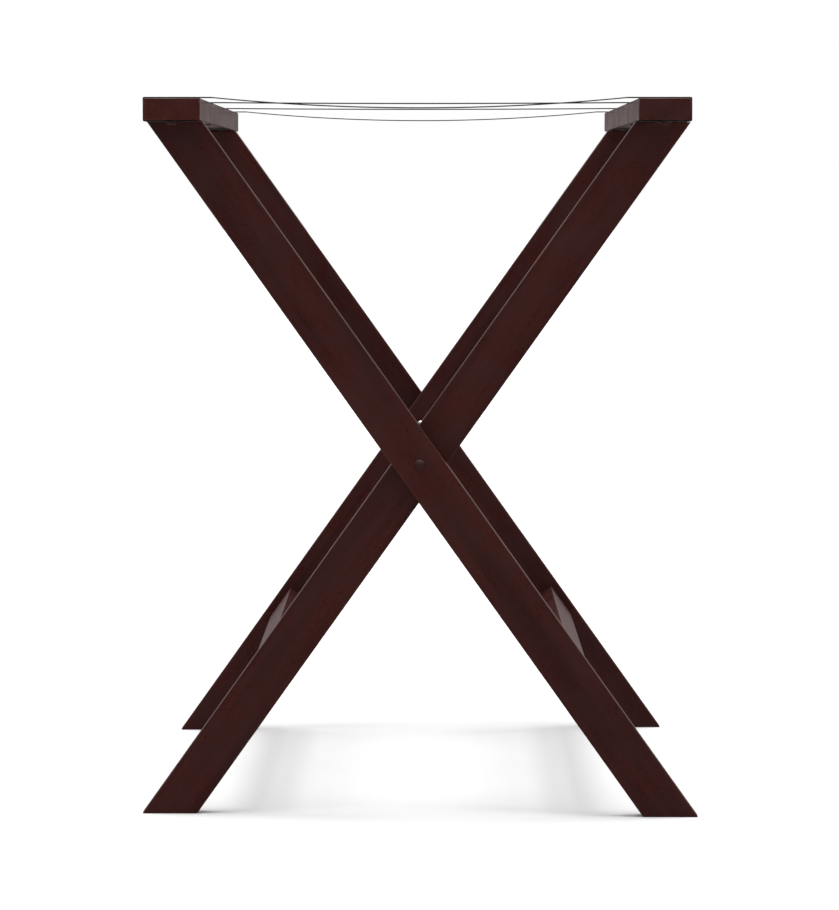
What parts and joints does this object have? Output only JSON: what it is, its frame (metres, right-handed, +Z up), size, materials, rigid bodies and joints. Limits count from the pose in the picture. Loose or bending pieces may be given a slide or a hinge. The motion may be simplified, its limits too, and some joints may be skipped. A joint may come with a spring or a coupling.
{
  "type": "folding luggage rack",
  "caption": "Folding wooden luggage rack: two nested scissor frames pivoted together, flat top rails, lower stretchers and black webbing straps across the top.",
  "frame": {"origin": "on the floor under the middle of the open rack", "axes": "+Z up, +Y along the rails towards the far end, +X across the rack from the outer frame's rail to the inner frame's rail"},
  "size_m": [0.3962, 0.56, 0.5097],
  "materials": {
    "lacquered_wood": "dark mahogany stain under semi-gloss lacquer",
    "dowel_wood": "raw beech",
    "webbing": "black woven polyester webbing",
    "dark_steel": "dark bronzed steel",
    "bright_steel": "nickel-plated steel",
    "nylon": "natural nylon"
  },
  "bodies": {
    "outer_frame": {"outer_rail": "lacquered_wood", "outer_stretcher": "lacquered_wood", "outer_leg_near": "lacquered_wood", "outer_leg_far": "lacquered_wood", "outer_rail_dowel_near_1": "dowel_wood", "outer_rail_dowel_near_2": "dowel_wood", "outer_rail_dowel_far_1": "dowel_wood", "outer_rail_dowel_far_2": "dowel_wood", "outer_stretcher_dowel_near_1": "dowel_wood", "outer_stretcher_dowel_near_2": "dowel_wood", "outer_stretcher_dowel_far_1": "dowel_wood", "outer_stretcher_dowel_far_2": "dowel_wood", "outer_cup_washer_1": "dark_steel", "outer_cup_washer_2": "dark_steel", "outer_cup_washer_3": "dark_steel", "outer_cup_washer_4": "dark_steel", "outer_strap_screw_1": "dark_steel", "outer_strap_screw_2": "dark_steel", "outer_strap_screw_3": "dark_steel", "outer_strap_screw_4": "dark_steel", "pivot_bolt_near": "dark_steel", "pivot_bolt_far": "dark_steel", "pivot_spacer_near": "nylon", "pivot_spacer_far": "nylon", "pivot_washer_near": "bright_steel", "pivot_washer_far": "bright_steel", "pivot_nut_near": "bright_steel", "pivot_nut_far": "bright_steel", "strap_1": "webbing", "strap_2": "webbing", "strap_3": "webbing", "strap_4": "webbing"},
    "inner_frame": {"inner_rail": "lacquered_wood", "inner_stretcher": "lacquered_wood", "inner_leg_near": "lacquered_wood", "inner_leg_far": "lacquered_wood", "inner_rail_dowel_near_1": "dowel_wood", "inner_rail_dowel_near_2": "dowel_wood", "inner_rail_dowel_far_1": "dowel_wood", "inner_rail_dowel_far_2": "dowel_wood", "inner_stretcher_dowel_near_1": "dowel_wood", "inner_stretcher_dowel_near_2": "dowel_wood", "inner_stretcher_dowel_far_1": "dowel_wood", "inner_stretcher_dowel_far_2": "dowel_wood", "inner_cup_washer_1": "dark_steel", "inner_cup_washer_2": "dark_steel", "inner_cup_washer_3": "dark_steel", "inner_cup_washer_4": "dark_steel", "inner_strap_screw_1": "dark_steel", "inner_strap_screw_2": "dark_steel", "inner_strap_screw_3": "dark_steel", "inner_strap_screw_4": "dark_steel"}
  },
  "joints": [
    {"name": "fold", "type": "hinge", "parent": "outer_frame", "child": "inner_frame", "pos_m": [0, 0, 0.251], "axis": [0, -1, 0], "range_deg": [0, 60], "deforming": ["strap_1", "strap_2", "strap_3", "strap_4"]}
  ]
}
